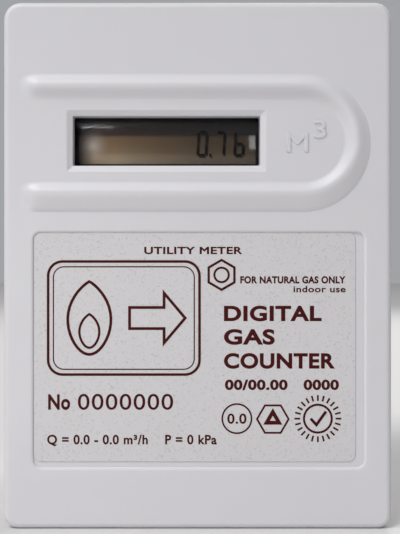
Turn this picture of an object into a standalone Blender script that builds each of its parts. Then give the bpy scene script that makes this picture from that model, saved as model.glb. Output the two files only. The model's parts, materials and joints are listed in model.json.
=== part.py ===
"""Compact electronic household gas meter with two side ports.

A white two-part case stands on its flat base.  Behind the front cover sit the display, the circuit board
and the label; behind them an aluminium gas body holds a fluidic oscillator, whose pulses are counted by
two piezo sensors.  The front faces -Y, +Z is up and +X is to the right; the origin is the centre of the base.
"""
import math

import bmesh
import bpy
from mathutils import Vector

MM = 0.001  # every length below is in millimetres, and new_object() turns it into metres
GAP = 0.3  # running gap between neighbouring pieces
OVER = 1.0  # how far a cutter runs past the face it opens

# --- Driving dimensions ---------------------------------------------------------------------------
CASE_WIDTH = 81.1
CASE_HEIGHT = 110.0
HALF_WIDTH = CASE_WIDTH / 2
FACE_Y = -33.0  # flat front face
BEAD_HEIGHT = 1.2  # raised bead around the display
BACK_Y = -(FACE_Y - BEAD_HEIGHT)  # back face, as far behind the origin as the bead is in front
SEAM_Y = -8.0  # parting line of the two case halves
TOP_CORNER = 3.6
BOTTOM_CORNER = 2.9
EDGE_FILLET = 1.2
SEAM_CHAMFER = 0.3

FRONT_WALL = 2.0
COVER_WALL = 2.6
HOUSING_WALL = 2.8
BACK_WALL = 2.4
TONGUE_OUT = 1.6  # the housing's tongue lies between these two insets from the outer wall
TONGUE_IN = 2.8
TONGUE_LENGTH = 2.65
GASKET_LENGTH = 1.3

CASE_SCREWS = [(side * 34.5, z) for z in (7.5, 102.5) for side in (-1, 1)]
BOARD_SCREWS = [(side * 32.0, z) for z in (16.0, 95.0) for side in (-1, 1)]
BODY_SCREWS = [(side * 20.0, z) for z in (36.5, 99.5) for side in (-1, 1)]
PLATE_SCREWS = [(side * 27.0, z) for z in (44.5, 91.5) for side in (-1, 1)]

LABEL = (-34.5, 35.0, 13.1, 62.2)  # recess: left, right, bottom, top
LABEL_CORNER = 1.9
LABEL_DEPTH = 0.9
LABEL_THICKNESS = 0.3
LABEL_PLATE = (-34.2, 33.0, 14.0, 61.9)  # the plate sits towards the recess's top left

WELL_FRONT = (-27.3, 13.8, 74.9, 87.2)  # display well at the front face
WELL_BACK = (-26.6, 13.1, 76.3, 86.8)  # and at its inner end
WELL_END_Y = -27.1
WELL_WALL = 1.5
LCD_X = (WELL_BACK[0] + WELL_BACK[1]) / 2
LCD_Z = (WELL_BACK[2] + WELL_BACK[3]) / 2

BEAD_LEFT = -36.0
BEAD_CENTRE = (22.4, 81.5)  # centre of the bead's round end
BEAD_RADIUS = 11.0
BEAD_REACH = 2.6  # from the crest to the foot on each side
BEAD_TAPER = 6.0

BOARD_Y = (-18.0, -16.4)
BOARD = (-36.0, 36.0, 12.0, 98.0)

BODY = (-33.0, 33.0, 40.0, 96.0)  # gas body: left, right, bottom, top
BODY_Y = (3.0, 29.0)
POCKET = (-20.0, 20.0, 48.0, 88.0)
POCKET_END_Y = 25.0
PORT_Y = 17.0
PORT_Z = 68.0
PORT_END_X = 45.0  # outer face of each port
PORT_BORE = 9.32  # crest radius of a G1/2 internal thread
SOCKET_RADIUS = 11.5
SOCKET_END_X = 22.0
BOSS_END_X = 36.5

BAY = (-29.0, 29.0, 9.0, 29.0)  # battery bay
BAY_FRONT_Y = 12.0
BAY_WALL = 1.5
BATTERY_RADIUS = 7.25
BATTERY_LENGTH = 50.5
BATTERY_Y = 21.5
BATTERY_Z = 19.0
LID = (-31.0, 31.0, 7.0, 31.0)  # rebate of the battery cover
LID_THICKNESS = 1.6
LID_SCREW_Z = 34.6

SMOOTH_ANGLE = math.radians(35)


# --- Helpers --------------------------------------------------------------------------------------
def material(name, colour, roughness, metallic=0.0, alpha=1.0):
    """One Principled material, made once and then shared."""
    found = bpy.data.materials.get(name)
    if found:
        return found
    made = bpy.data.materials.new(name)
    made.use_nodes = True
    shader = made.node_tree.nodes["Principled BSDF"]
    shader.inputs["Base Color"].default_value = (*colour, 1.0)
    shader.inputs["Roughness"].default_value = roughness
    shader.inputs["Metallic"].default_value = metallic
    shader.inputs["Alpha"].default_value = alpha
    made.diffuse_color = (*colour, alpha)
    return made


def case_white():
    return material("case_white", (0.62, 0.61, 0.63), 0.45)


def black_plastic():
    return material("black_plastic", (0.02, 0.02, 0.022), 0.5)


def cast_aluminium():
    return material("cast_aluminium", (0.55, 0.56, 0.57), 0.5, 1.0)


def nickel():
    return material("nickel_plated_brass", (0.62, 0.6, 0.55), 0.3, 1.0)


def zinc_steel():
    return material("zinc_plated_steel", (0.6, 0.61, 0.62), 0.35, 1.0)


def grey_rubber():
    return material("rubber", (0.05, 0.05, 0.055), 0.8)


def new_object(name, mesh, finish):
    """Turns a bmesh in millimetres into a named object in metres."""
    bmesh.ops.recalc_face_normals(mesh, faces=mesh.faces)
    bmesh.ops.scale(mesh, vec=(MM, MM, MM), verts=mesh.verts)
    data = bpy.data.meshes.new(name)
    mesh.to_mesh(data)
    mesh.free()
    data.shade_smooth()
    data.set_sharp_from_angle(angle=SMOOTH_ANGLE)
    made = bpy.data.objects.new(name, data)
    bpy.context.collection.objects.link(made)
    if finish:
        data.materials.append(finish)
    return made


def loft(name, rings, finish=None, endless=False):
    """Skins a row of rings; the ends are capped, or joined to each other when endless."""
    mesh = bmesh.new()
    rows = [[mesh.verts.new(point) for point in ring] for ring in rings]
    pairs = list(zip(rows, rows[1:]))
    if endless:
        pairs.append((rows[-1], rows[0]))
    else:
        mesh.faces.new(rows[0])
        mesh.faces.new(rows[-1])
    for near, far in pairs:
        for i in range(len(near)):
            j = (i + 1) % len(near)
            mesh.faces.new((near[i], near[j], far[j], far[i]))
    return new_object(name, mesh, finish)


def rounded_rect(sides, top_radius, bottom_radius=None, inset=0.0, steps=4):
    """Outline (x, z) of a rectangle with round corners, inset on every side."""
    left, right, bottom, top = sides
    top_radius = max(top_radius - inset, 0.1)
    bottom_radius = top_radius if bottom_radius is None else max(bottom_radius - inset, 0.1)
    corners = [
        (right - inset, top - inset, -1, -1, top_radius, 0),
        (left + inset, top - inset, 1, -1, top_radius, 90),
        (left + inset, bottom + inset, 1, 1, bottom_radius, 180),
        (right - inset, bottom + inset, -1, 1, bottom_radius, 270),
    ]
    points = []
    for x, z, to_x, to_z, radius, start in corners:
        for step in range(steps + 1):
            angle = math.radians(start + 90 * step / steps)
            points.append((
                x + to_x * radius + radius * math.cos(angle),
                z + to_z * radius + radius * math.sin(angle),
            ))
    return points


def at_depth(outline, y):
    """Places an (x, z) outline at a depth."""
    return [(x, y, z) for x, z in outline]


def prism(name, outline, y_front, y_back, finish=None):
    return loft(name, [at_depth(outline, y_front), at_depth(outline, y_back)], finish)


def slab(name, sides, y_front, y_back, finish=None, radius=0.0):
    """A rectangular block given by its (left, right, bottom, top) and depth."""
    left, right, bottom, top = sides
    if radius:
        return prism(name, rounded_rect(sides, radius), y_front, y_back, finish)
    return prism(name, [(left, bottom), (right, bottom), (right, top), (left, top)], y_front, y_back, finish)


def turned(name, profile, centre, direction, finish=None, sides=24, endless=False):
    """Turns (radius, distance) pairs around an axis through centre; distance runs along direction."""
    axis = Vector(direction)
    up = Vector((0, 0, 1))
    across = axis.cross(up)
    rings = []
    for radius, distance in profile:
        ring = []
        for i in range(sides):
            angle = 2 * math.pi * i / sides
            spoke = up * math.cos(angle) + across * math.sin(angle)
            ring.append(Vector(centre) + axis * distance + spoke * radius)
        rings.append(ring)
    return loft(name, rings, finish, endless)


def post(name, x, z, radius, y_front, y_back, finish=None, sides=16):
    """A round bar along Y."""
    return turned(name, [(radius, 0), (radius, y_back - y_front)], (x, y_front, z), (0, 1, 0), finish, sides)


def combine(target, tool, operation):
    """Adds a Boolean that joins a tool to the target or cuts it away; the tool itself is hidden."""
    change = target.modifiers.new(tool.name, "BOOLEAN")
    change.operation = operation
    change.solver = "EXACT"
    change.object = tool
    tool.hide_render = True
    tool.display_type = "WIRE"


def add(target, *tools):
    for tool in tools:
        combine(target, tool, "UNION")


def cut(target, *tools):
    for tool in tools:
        combine(target, tool, "DIFFERENCE")


def set_origin(made, point):
    """Moves an object's origin without moving its surface."""
    offset = Vector(point) * MM
    for vertex in made.data.vertices:
        vertex.co -= offset
    made.location = offset


def screw(name, x, z, head_y, towards, length, finish, head_radius=2.8, head_height=2.2, shank_radius=1.45):
    """A pan-head screw with a round drive recess; its head is at head_y and its shank runs towards +-Y."""
    recess = head_radius * 0.42
    profile = [
        (recess, head_height * 0.6),
        (recess, 0),
        (head_radius * 0.8, 0),
        (head_radius, head_height * 0.35),
        (head_radius, head_height),
        (shank_radius, head_height),
        (shank_radius, length - shank_radius),
        (shank_radius * 0.3, length),
    ]
    return turned(name, profile, (x, head_y, z), (0, towards, 0), finish, sides=12)


def smooth_route(points, step):
    """Points every step along a Catmull-Rom curve through the route's own points."""
    knots = [Vector(point) for point in points]
    knots = [knots[0] * 2 - knots[1], *knots, knots[-1] * 2 - knots[-2]]
    route = []
    for before, start, end, after in zip(knots, knots[1:], knots[2:], knots[3:]):
        pieces = max(1, round((end - start).length / step))
        for i in range(pieces):
            t = i / pieces
            route.append(0.5 * (
                2 * start + (end - before) * t
                + (2 * before - 5 * start + 4 * end - after) * t ** 2
                + (3 * start - before - 3 * end + after) * t ** 3
            ))
    return [*route, knots[-2]]


def wire(name, points, radius, finish):
    """A round wire along a row of points."""
    curve = bpy.data.curves.new(name, "CURVE")
    curve.dimensions = "3D"
    curve.bevel_depth = radius * MM
    curve.bevel_resolution = 2
    curve.use_fill_caps = True
    curve.render_resolution_u = 0
    line = curve.splines.new("POLY")
    line.points.add(len(points) - 1)
    for spot, point in zip(line.points, points):
        spot.co = (*(Vector(point) * MM), 1.0)
    curve.materials.append(finish)
    made = bpy.data.objects.new(name, curve)
    bpy.context.collection.objects.link(made)
    return made


def case_outline(inset=0.0):
    """The case seen from the front, inset from its outer wall."""
    return rounded_rect((-HALF_WIDTH, HALF_WIDTH, 0, CASE_HEIGHT), TOP_CORNER, BOTTOM_CORNER, inset)


def edge_rings(outer_y, inward):
    """Rings of the rounded edge at the front or back face; inward is the sign of Y into the case."""
    rings = []
    for degrees in (0, 30, 60, 90):
        angle = math.radians(degrees)
        inset = EDGE_FILLET * (1 - math.sin(angle))
        depth = EDGE_FILLET * (1 - math.cos(angle))
        rings.append(at_depth(case_outline(inset), outer_y + inward * depth))
    return rings


def shrink(sides, amount):
    left, right, bottom, top = sides
    return (left + amount, right - amount, bottom + amount, top - amount)


# --- Case -----------------------------------------------------------------------------------------
def display_bead():
    """The raised bead that runs along the display's top, round its right end and back below it."""
    centre_x, centre_z = BEAD_CENTRE
    straight = (BEAD_LEFT, BEAD_LEFT + BEAD_TAPER)
    stations = [(x, 90) for x in straight]
    stations += [(centre_x, angle) for angle in range(90, -91, -15)]
    stations += [(x, -90) for x in reversed(straight)]
    crest = [(-1, 0.01), (-0.4, 0.8), (0, 1), (0.4, 0.8), (1, 0.01)]
    rings = []
    for x, degrees in stations:
        angle = math.radians(degrees)
        rise = 0.05 if x == BEAD_LEFT else 1.0
        section = [(reach, FACE_Y - height * rise * BEAD_HEIGHT) for reach, height in crest]
        section = [(-1, FACE_Y + OVER), *section, (1, FACE_Y + OVER)]
        ring = []
        for reach, y in section:
            distance = BEAD_RADIUS + reach * BEAD_REACH
            ring.append((x + distance * math.cos(angle), y, centre_z + distance * math.sin(angle)))
        rings.append(ring)
    return loft("join_display_bead", rings)


def front_cover():
    back_y = SEAM_Y - GAP / 2
    seam = [
        at_depth(case_outline(), back_y - SEAM_CHAMFER),
        at_depth(case_outline(SEAM_CHAMFER), back_y),
    ]
    cover = loft("front_cover", edge_rings(FACE_Y, 1) + seam, case_white())
    inner_y = FACE_Y + FRONT_WALL
    cut(cover, prism("cut_cover_inside", case_outline(COVER_WALL), inner_y, back_y + OVER))
    root_y = inner_y - 0.5
    for i, (x, z) in enumerate(CASE_SCREWS):
        add(cover, post(f"join_case_boss_{i}", x, z, 3.5, root_y, back_y - 1))
    for i, (x, z) in enumerate(BOARD_SCREWS):
        add(cover, post(f"join_board_post_{i}", x, z, 2.5, root_y, BOARD_Y[0] - GAP))
    add(cover, slab("join_well_wall", shrink(WELL_BACK, -WELL_WALL), root_y, WELL_END_Y))
    add(cover, display_bead())
    cut(cover, display_well())
    recess = rounded_rect(LABEL, LABEL_CORNER)
    cut(cover, prism("cut_label_recess", recess, FACE_Y - OVER, FACE_Y + LABEL_DEPTH))
    for i, (x, z) in enumerate(CASE_SCREWS):
        cut(cover, post(f"cut_case_pilot_{i}", x, z, 1.8, -24, back_y + OVER, sides=12))
    for i, (x, z) in enumerate(BOARD_SCREWS):
        cut(cover, post(f"cut_board_pilot_{i}", x, z, 1.4, -26, BOARD_Y[0] + OVER, sides=12))
    cut(cover, seam_rebate())


def display_well():
    """Cutter of the tapered well in front of the display."""
    depth = WELL_END_Y - FACE_Y
    rings = []
    for y in (FACE_Y - OVER, WELL_END_Y + OVER):
        part = (y - FACE_Y) / depth
        sides = [front + (back - front) * part for front, back in zip(WELL_FRONT, WELL_BACK)]
        rings.append(at_depth(rounded_rect(sides, 0.5, steps=2), y))
    return loft("cut_display_well", rings)


def seam_rebate():
    """Cutter of the groove in the front cover's wall that takes the tongue and the gasket."""
    front_y = SEAM_Y - GAP / 2 - TONGUE_LENGTH - GASKET_LENGTH - 2 * GAP
    outer = case_outline(TONGUE_OUT - GAP)
    inner = case_outline(TONGUE_IN + GAP)
    return seam_ring("cut_seam_rebate", outer, inner, front_y, SEAM_Y + OVER)


def seam_ring(name, outer, inner, y_front, y_back, finish=None):
    """A ring between two outlines of the case."""
    corners = ((outer, y_front), (outer, y_back), (inner, y_back), (inner, y_front))
    return loft(name, [at_depth(outline, y) for outline, y in corners], finish, endless=True)


def cover_gasket():
    back_y = SEAM_Y + GAP / 2 - TONGUE_LENGTH - GAP
    outer = case_outline(TONGUE_OUT)
    inner = case_outline(TONGUE_IN)
    seam_ring("cover_gasket", outer, inner, back_y - GASKET_LENGTH, back_y, grey_rubber())


def flow_arrow():
    """Cutter of the flow arrow, sunk in the back; gas flows from the left port to the right one."""
    tip, shaft, half_head, half_shaft = 12.0, 4.0, 4.5, 1.6
    outline = [
        (tip, 0), (shaft, half_head), (shaft, half_shaft), (-tip, half_shaft),
        (-tip, -half_shaft), (shaft, -half_shaft), (shaft, -half_head),
    ]
    placed = [(x, z + PORT_Z) for x, z in outline]
    return prism("cut_flow_arrow", placed, BACK_Y - 0.5, BACK_Y + OVER)


def rear_housing():
    front_y = SEAM_Y + GAP / 2
    seam = [
        at_depth(case_outline(SEAM_CHAMFER), front_y),
        at_depth(case_outline(), front_y + SEAM_CHAMFER),
    ]
    housing = loft("rear_housing", seam + edge_rings(BACK_Y, -1)[::-1], case_white())
    inner_y = BACK_Y - BACK_WALL
    root_y = inner_y + 0.5
    cut(housing, prism("cut_housing_inside", case_outline(HOUSING_WALL), front_y - OVER, inner_y))
    tongue_outer = case_outline(TONGUE_OUT)
    tongue_inner = case_outline(TONGUE_IN + 0.2)
    add(housing, seam_ring("join_tongue", tongue_outer, tongue_inner, front_y - TONGUE_LENGTH, front_y + 2))
    for i, (x, z) in enumerate(CASE_SCREWS):
        add(housing, post(f"join_case_post_{i}", x, z, 4.2, front_y - 0.2, root_y))
    for i, (x, z) in enumerate(BODY_SCREWS):
        add(housing, post(f"join_body_post_{i}", x, z, 3.2, BODY_Y[1], root_y, sides=12))
    add(housing, post("join_lid_boss", 0, LID_SCREW_Z, 3.0, 22, root_y, sides=12))
    add(housing, slab("join_bay_walls", shrink(BAY, -BAY_WALL), BAY_FRONT_Y - BAY_WALL, root_y))
    cut(housing, slab("cut_bay", BAY, BAY_FRONT_Y, BACK_Y + OVER))
    cut(housing, slab("cut_lid_rebate", LID, BACK_Y - LID_THICKNESS - GAP, BACK_Y + OVER, radius=1.5))
    tab = (-5.5, 5.5, LID[3] - 2, LID_SCREW_Z + 4)
    cut(housing, slab("cut_tab_rebate", tab, BACK_Y - LID_THICKNESS - GAP, BACK_Y + OVER, radius=1.5))
    cut(housing, post("cut_lid_pilot", 0, LID_SCREW_Z, 1.8, 23.5, BACK_Y, sides=12))
    for i, (x, z) in enumerate(BODY_SCREWS):
        cut(housing, post(f"cut_body_pilot_{i}", x, z, 1.8, BODY_Y[1] - OVER, BACK_Y - 1, sides=12))
    for i, (x, z) in enumerate(CASE_SCREWS):
        cut(housing, post(f"cut_case_hole_{i}", x, z, 1.8, front_y - 4, 24, sides=12))
        cut(housing, post(f"cut_case_head_{i}", x, z, 3.3, 22, BACK_Y + OVER))
    for i, side in enumerate((-1, 1)):
        bore = [(12.9, 0), (12.9, 8)]
        cut(housing, turned(f"cut_port_{i}", bore, (side * 35, PORT_Y, PORT_Z), (side, 0, 0)))
        cut(housing, post(f"cut_lead_hole_{i}", side * 27, BATTERY_Z, 1.2, 8, 14, sides=12))
    cut(housing, flow_arrow())


def case_fasteners():
    for i, (x, z) in enumerate(CASE_SCREWS, 1):
        screw(f"cover_screw_{i}", x, z, 24.5, -1, 44, zinc_steel())
    x, z = CASE_SCREWS[-1]
    seal = material("seal_red", (0.5, 0.03, 0.03), 0.45)
    post("tamper_seal", x, z, 3.0, BACK_Y - 3.2, BACK_Y - 0.6, seal)


def label_plate():
    finish = material("label_film", (0.56, 0.55, 0.57), 0.5)
    back_y = FACE_Y + LABEL_DEPTH - GAP
    slab("label_plate", LABEL_PLATE, back_y - LABEL_THICKNESS, back_y, finish, radius=LABEL_CORNER - GAP)


# --- Display and electronics ----------------------------------------------------------------------
def around_display(half_width, half_height):
    return (LCD_X - half_width, LCD_X + half_width, LCD_Z - half_height, LCD_Z + half_height)


def display():
    clear = material("clear_acrylic", (0.9, 0.92, 0.92), 0.08, alpha=0.25)
    window_y = WELL_END_Y + GAP
    slab("display_window", around_display(21.6, 7.0), window_y, window_y + 1, clear)

    lip_y = window_y + 1 + GAP
    lip_back_y = lip_y + 0.6
    frame_back_y = BOARD_Y[0] - GAP
    bezel = slab("lcd_bezel", around_display(25, 10), lip_y, frame_back_y, black_plastic(), radius=1.5)
    cut(bezel, slab("cut_lcd_view", around_display(20.2, 5.6), lip_y - OVER, frame_back_y))
    cut(bezel, slab("cut_lcd_seat", around_display(21.9, 7.6), lip_back_y, frame_back_y + OVER))

    glass_y = lip_back_y + GAP
    glass = material("lcd_glass", (0.12, 0.1, 0.07), 0.15)
    slab("lcd_glass", around_display(21.5, 7.25), glass_y, glass_y + 2, glass)
    for name, side in (("zebra_strip_upper", 1), ("zebra_strip_lower", -1)):
        z = LCD_Z + side * 6
        slab(name, (LCD_X - 20, LCD_X + 20, z - 0.8, z + 0.8), glass_y + 2 + GAP, frame_back_y, grey_rubber())


def circuit_board():
    board = slab("main_pcb", BOARD, *BOARD_Y, material("solder_mask_green", (0.02, 0.16, 0.06), 0.4))
    for i, (x, z) in enumerate(BOARD_SCREWS, 1):
        cut(board, post(f"cut_board_hole_{i}", x, z, 1.4, BOARD_Y[0] - OVER, BOARD_Y[1] + OVER, sides=12))
        screw(f"pcb_screw_{i}", x, z, BOARD_Y[1] + GAP + 1.6, -1, 9.5, zinc_steel(), 2.3, 1.6, 1.05)

    mount_y = BOARD_Y[1] + GAP
    slab("microcontroller", (-17, -7, 53, 63), mount_y, mount_y + 1.4, black_plastic())
    slab("amplifier_chip", (10, 16, 56, 61), mount_y, mount_y + 1.5, black_plastic())
    slab("crystal", (-27, -23, 62, 72), mount_y, mount_y + 3.2, zinc_steel(), radius=1.8)
    sleeve = material("capacitor_sleeve", (0.02, 0.03, 0.12), 0.35)
    post("capacitor", 20, 40, 4, mount_y, mount_y + 7, sleeve)
    ivory = material("connector_ivory", (0.7, 0.66, 0.52), 0.5)
    slab("sensor_connector", (21, 27, 63, 73), mount_y, mount_y + 4.5, ivory)
    slab("battery_connector", (-5, 5, 26.5, 31.5), mount_y, mount_y + 4.5, ivory)


# --- Battery --------------------------------------------------------------------------------------
def battery():
    half = BATTERY_LENGTH / 2
    profile = [
        (BATTERY_RADIUS - 0.6, -half), (BATTERY_RADIUS, -half + 0.6), (BATTERY_RADIUS, half - 2),
        (BATTERY_RADIUS - 0.6, half - 1.4), (2.8, half - 1.4), (2.8, half),
    ]
    wrap = material("battery_wrap", (0.03, 0.12, 0.3), 0.35)
    turned("battery", profile, (0, BATTERY_Y, BATTERY_Z), (1, 0, 0), wrap)
    plate_z = (BATTERY_Z - 5, BATTERY_Z + 5)
    plate_y = (BATTERY_Y - 7, BATTERY_Y + 6)
    slab("battery_contact_plus", (half + GAP, half + GAP + 0.5, *plate_z), *plate_y, nickel())
    slab("battery_contact_minus", (-28.6, -28.1, *plate_z), *plate_y, nickel())

    turns, steps, radius = 2, 14, 3.4
    coil = []
    for i in range(turns * steps + 1):
        angle = 2 * math.pi * i / steps
        x = -27.6 + 1.6 * i / (turns * steps)
        coil.append((x, BATTERY_Y + radius * math.cos(angle), BATTERY_Z + radius * math.sin(angle)))
    wire("battery_spring", coil, 0.2, nickel())

    leads = (("battery_lead_red", 1, (0.5, 0.02, 0.02)), ("battery_lead_black", -1, (0.01, 0.01, 0.01)))
    for name, side, colour in leads:
        route = [
            (side * 27, 13.6, BATTERY_Z), (side * 27, 8, BATTERY_Z), (side * 22, 0, 22),
            (side * 10, -7, 27), (side * 3, -8, 29), (side * 2.5, BOARD_Y[1] + 5.2, 29),
        ]
        wire(name, smooth_route(route, 2.4), 0.6, material(name, colour, 0.5))


def battery_cover():
    """The lid of the battery bay, with a locating skirt and a screwed tab; it pulls off backwards."""
    lid_y = BACK_Y - LID_THICKNESS
    lid = slab("battery_cover", shrink(LID, GAP), lid_y, BACK_Y, case_white(), radius=1.2)
    tab = (-5.2, 5.2, LID[3] - 4, LID_SCREW_Z + 3.7)
    add(lid, slab("join_lid_tab", tab, lid_y, BACK_Y, radius=1.2))
    skirt = slab("join_lid_skirt", shrink(BAY, GAP), lid_y - 3, lid_y + 0.5)
    cut(skirt, slab("cut_lid_skirt", shrink(BAY, GAP + 1.2), lid_y - 3 - OVER, lid_y + 0.1))
    add(lid, skirt)
    cut(lid, post("cut_lid_screw_head", 0, LID_SCREW_Z, 2.6, BACK_Y - 1, BACK_Y + OVER))
    cut(lid, post("cut_lid_screw_hole", 0, LID_SCREW_Z, 1.6, lid_y - OVER, BACK_Y, sides=12))
    for i in range(3):
        z = 12.5 + 3 * i
        cut(lid, slab(f"cut_grip_{i}", (-9, 9, z, z + 1.2), BACK_Y - 0.6, BACK_Y + OVER))
    set_origin(lid, (0, BACK_Y, BATTERY_Z))
    lid_screw = screw(
        "battery_cover_screw", 0, LID_SCREW_Z, BACK_Y - 0.05, -1, 9.5, zinc_steel(),
        head_radius=2.2, head_height=0.65, shank_radius=1.25,
    )
    set_origin(lid_screw, (0, BACK_Y, LID_SCREW_Z))


# --- Gas body and oscillator ----------------------------------------------------------------------
def gas_body():
    body = slab("gas_body", BODY, *BODY_Y, cast_aluminium(), radius=3)
    centre = (0, PORT_Y, PORT_Z)
    boss = [(14.2, BODY[1] - OVER), (14.2, BOSS_END_X)]
    for i, side in enumerate((-1, 1)):
        add(body, turned(f"join_boss_{i}", boss, centre, (side, 0, 0)))
    for i, (x, z) in enumerate(BODY_SCREWS):
        inner = BODY[2] + 2 if z < PORT_Z else BODY[3] - 2
        sides = (x - 3.5, x + 3.5, min(z - 3.5, inner), max(z + 3.5, inner))
        add(body, slab(f"join_lug_{i}", sides, BODY_Y[1] - 4, BODY_Y[1] - GAP, radius=1.5))
    cut(body, slab("cut_oscillator_pocket", POCKET, BODY_Y[0] - OVER, POCKET_END_Y, radius=2))
    for i, side in enumerate((-1, 1)):
        socket = [
            (7.5, POCKET[1] - OVER), (7.5, SOCKET_END_X),
            (SOCKET_RADIUS, SOCKET_END_X), (SOCKET_RADIUS, BOSS_END_X + OVER),
        ]
        cut(body, turned(f"cut_socket_{i}", socket, centre, (side, 0, 0)))
    for i, (x, z) in enumerate(BODY_SCREWS):
        cut(body, post(f"cut_lug_hole_{i}", x, z, 1.8, BODY_Y[1] - 6, BODY_Y[1] + OVER, sides=12))
    for i, (x, z) in enumerate(PLATE_SCREWS):
        cut(body, post(f"cut_plate_pilot_{i}", x, z, 1.8, BODY_Y[0] - OVER, 14, sides=12))
    for i, (x, z) in enumerate(BODY_SCREWS, 1):
        screw(f"gas_body_screw_{i}", x, z, BODY_Y[1] - 4 - GAP - 2.2, 1, 10, zinc_steel())


def oscillator_block():
    """The fluidic oscillator: a jet from the nozzle flips between two outlets through feedback loops."""
    front_y, floor_y, back_y = 4.0, 14.0, 19.0
    resin = material("oscillator_resin", (0.12, 0.13, 0.14), 0.4)
    block = slab("oscillator_block", shrink(POCKET, 0.5), front_y, back_y, resin, radius=2)

    def channel(name, corners, side):
        placed = [(x, PORT_Z + side * z) for x, z in corners]
        cut(block, prism(name, placed, front_y - OVER, floor_y))

    channel("cut_plenum", [(-21, -5), (-13, -5), (-13, 5), (-21, 5)], 1)
    channel("cut_nozzle", [(-14, -1), (-7, -1), (-7, 1), (-14, 1)], 1)
    channel("cut_chamber", [(-7.5, -2.2), (6, -6.5), (6, 6.5), (-7.5, 2.2)], 1)
    for side, place in ((1, "upper"), (-1, "lower")):
        channel(f"cut_outlet_{place}", [(5, 1.2), (21, 6.5), (21, 12), (5, 6.3)], side)
        channel(f"cut_loop_rise_{place}", [(9, 6.5), (12, 6.5), (12, 16.5), (9, 16.5)], side)
        channel(f"cut_loop_back_{place}", [(-8.5, 13.5), (12.5, 13.5), (12.5, 16.4), (-8.5, 16.4)], side)
        channel(f"cut_loop_fall_{place}", [(-8.4, 1.5), (-6, 1.5), (-6, 16), (-8.4, 16)], side)


def oscillator_lid():
    """Gasket and plate that close the oscillator's pocket, with their screws."""
    gasket_y = BODY_Y[0] - GAP - 0.9
    sides = shrink(BODY, 0.8)
    gasket = slab("oscillator_gasket", sides, gasket_y, BODY_Y[0] - GAP, grey_rubber(), radius=2.2)
    cut(gasket, slab("cut_gasket_window", shrink(POCKET, -0.6), gasket_y - OVER, BODY_Y[0], radius=2))
    plate_back_y = gasket_y - GAP
    plate_y = plate_back_y - 2.4
    plate = slab("oscillator_cover", shrink(BODY, 0.5), plate_y, plate_back_y, cast_aluminium(), radius=2.5)
    for i, (x, z) in enumerate(PLATE_SCREWS, 1):
        for part, target in (("gasket", gasket), ("plate", plate)):
            cut(target, post(f"cut_{part}_hole_{i}", x, z, 1.8, plate_y - OVER, BODY_Y[0], sides=12))
        screw(f"oscillator_screw_{i}", x, z, plate_y - GAP - 2.2, 1, 13, zinc_steel())
    for place, side in (("upper", 1), ("lower", -1)):
        x, z = -7.0, PORT_Z + side * 12
        cut(plate, post(f"cut_tap_{place}", x, z, 1.2, plate_y - OVER, BODY_Y[0], sides=12))
        pressure_sensor(place, x, z, plate_y - GAP)


def pressure_sensor(place, x, z, base_y):
    """A piezo disc in a cup over one feedback loop, with its lead to the circuit board."""
    cup_profile = [(8, 0), (8, 5.6), (6.6, 5.6), (6.6, 1.2), (1.2, 1.2), (1.2, 0)]
    turned(f"sensor_cup_{place}", cup_profile, (x, base_y, z), (0, -1, 0), black_plastic(), endless=True)
    disc_y = base_y - 2.6
    brass = material("piezo_brass", (0.65, 0.48, 0.2), 0.35, 1.0)
    post(f"piezo_disc_{place}", x, z, 6.2, disc_y - 0.6, disc_y, brass)
    side = 1 if z > PORT_Z else -1
    route = [
        (x + 2, disc_y - 1.5, z), (x + 3, base_y - 6.4, z), (x + 12, base_y - 8.2, z - side * 3),
        (22, base_y - 8, PORT_Z + side * 3), (24, BOARD_Y[1] + 5.8, PORT_Z + side * 2.4),
    ]
    grey = material("lead_grey", (0.3, 0.3, 0.32), 0.5)
    wire(f"sensor_lead_{place}", smooth_route(route, 2.2), 0.5, grey)


# --- Ports ----------------------------------------------------------------------------------------
def port(place, side):
    """A screwed-in hexagonal port with its O-ring and the push-in plug that protects it in transport."""
    centre = (0, PORT_Y, PORT_Z)
    direction = (side, 0, 0)
    flange_x = HALF_WIDTH + GAP + 0.1
    end_x = PORT_END_X
    hex_radius = 13.5 / math.cos(math.pi / 6)
    chamfer = 0.8
    flange = [(hex_radius, flange_x), (hex_radius, end_x - chamfer), (hex_radius - 2 * chamfer, end_x)]
    fitting = turned(f"{place}_fitting", flange, centre, direction, nickel(), sides=6)
    sleeve = [(11.1, 24), (11.1, 38.6), (12.5, 38.6), (12.5, flange_x + 1)]
    add(fitting, turned(f"join_{place}_sleeve", sleeve, centre, direction))
    cut(fitting, turned(f"cut_{place}_bore", [(PORT_BORE, 20), (PORT_BORE, 50)], centre, direction))
    cut(fitting, turned(f"cut_{place}_mouth", [(11, end_x - 1.6), (11, 50)], centre, direction))

    ring_radius, cord_radius, ring_x = 12.05, 0.5, 37.5
    cord = []
    for i in range(8):
        angle = 2 * math.pi * i / 8
        cord.append((ring_radius + cord_radius * math.cos(angle), ring_x + cord_radius * math.sin(angle)))
    turned(f"{place}_o_ring", cord, centre, direction, grey_rubber(), endless=True)

    cap = material("cap_yellow", (0.75, 0.5, 0.03), 0.5)
    web_x = end_x - 4
    plug_profile = [
        (7.4, web_x + 0.6), (7.4, end_x - 0.3), (10.6, end_x - 0.3), (10.6, end_x - 1.3), (8.9, end_x - 1.3),
        (8.9, 34), (8.6, 31), (7.2, 31), (7.2, web_x - 0.6),
    ]
    plug = turned(f"{place}_plug", plug_profile, centre, direction, cap)
    near, far = sorted((side * web_x, side * (end_x - 0.5)))
    grip = slab(f"join_{place}_grip", (near, far, PORT_Z - 7.6, PORT_Z + 7.6), PORT_Y - 0.9, PORT_Y + 0.9)
    add(plug, grip)
    set_origin(plug, (side * end_x, PORT_Y, PORT_Z))


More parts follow.
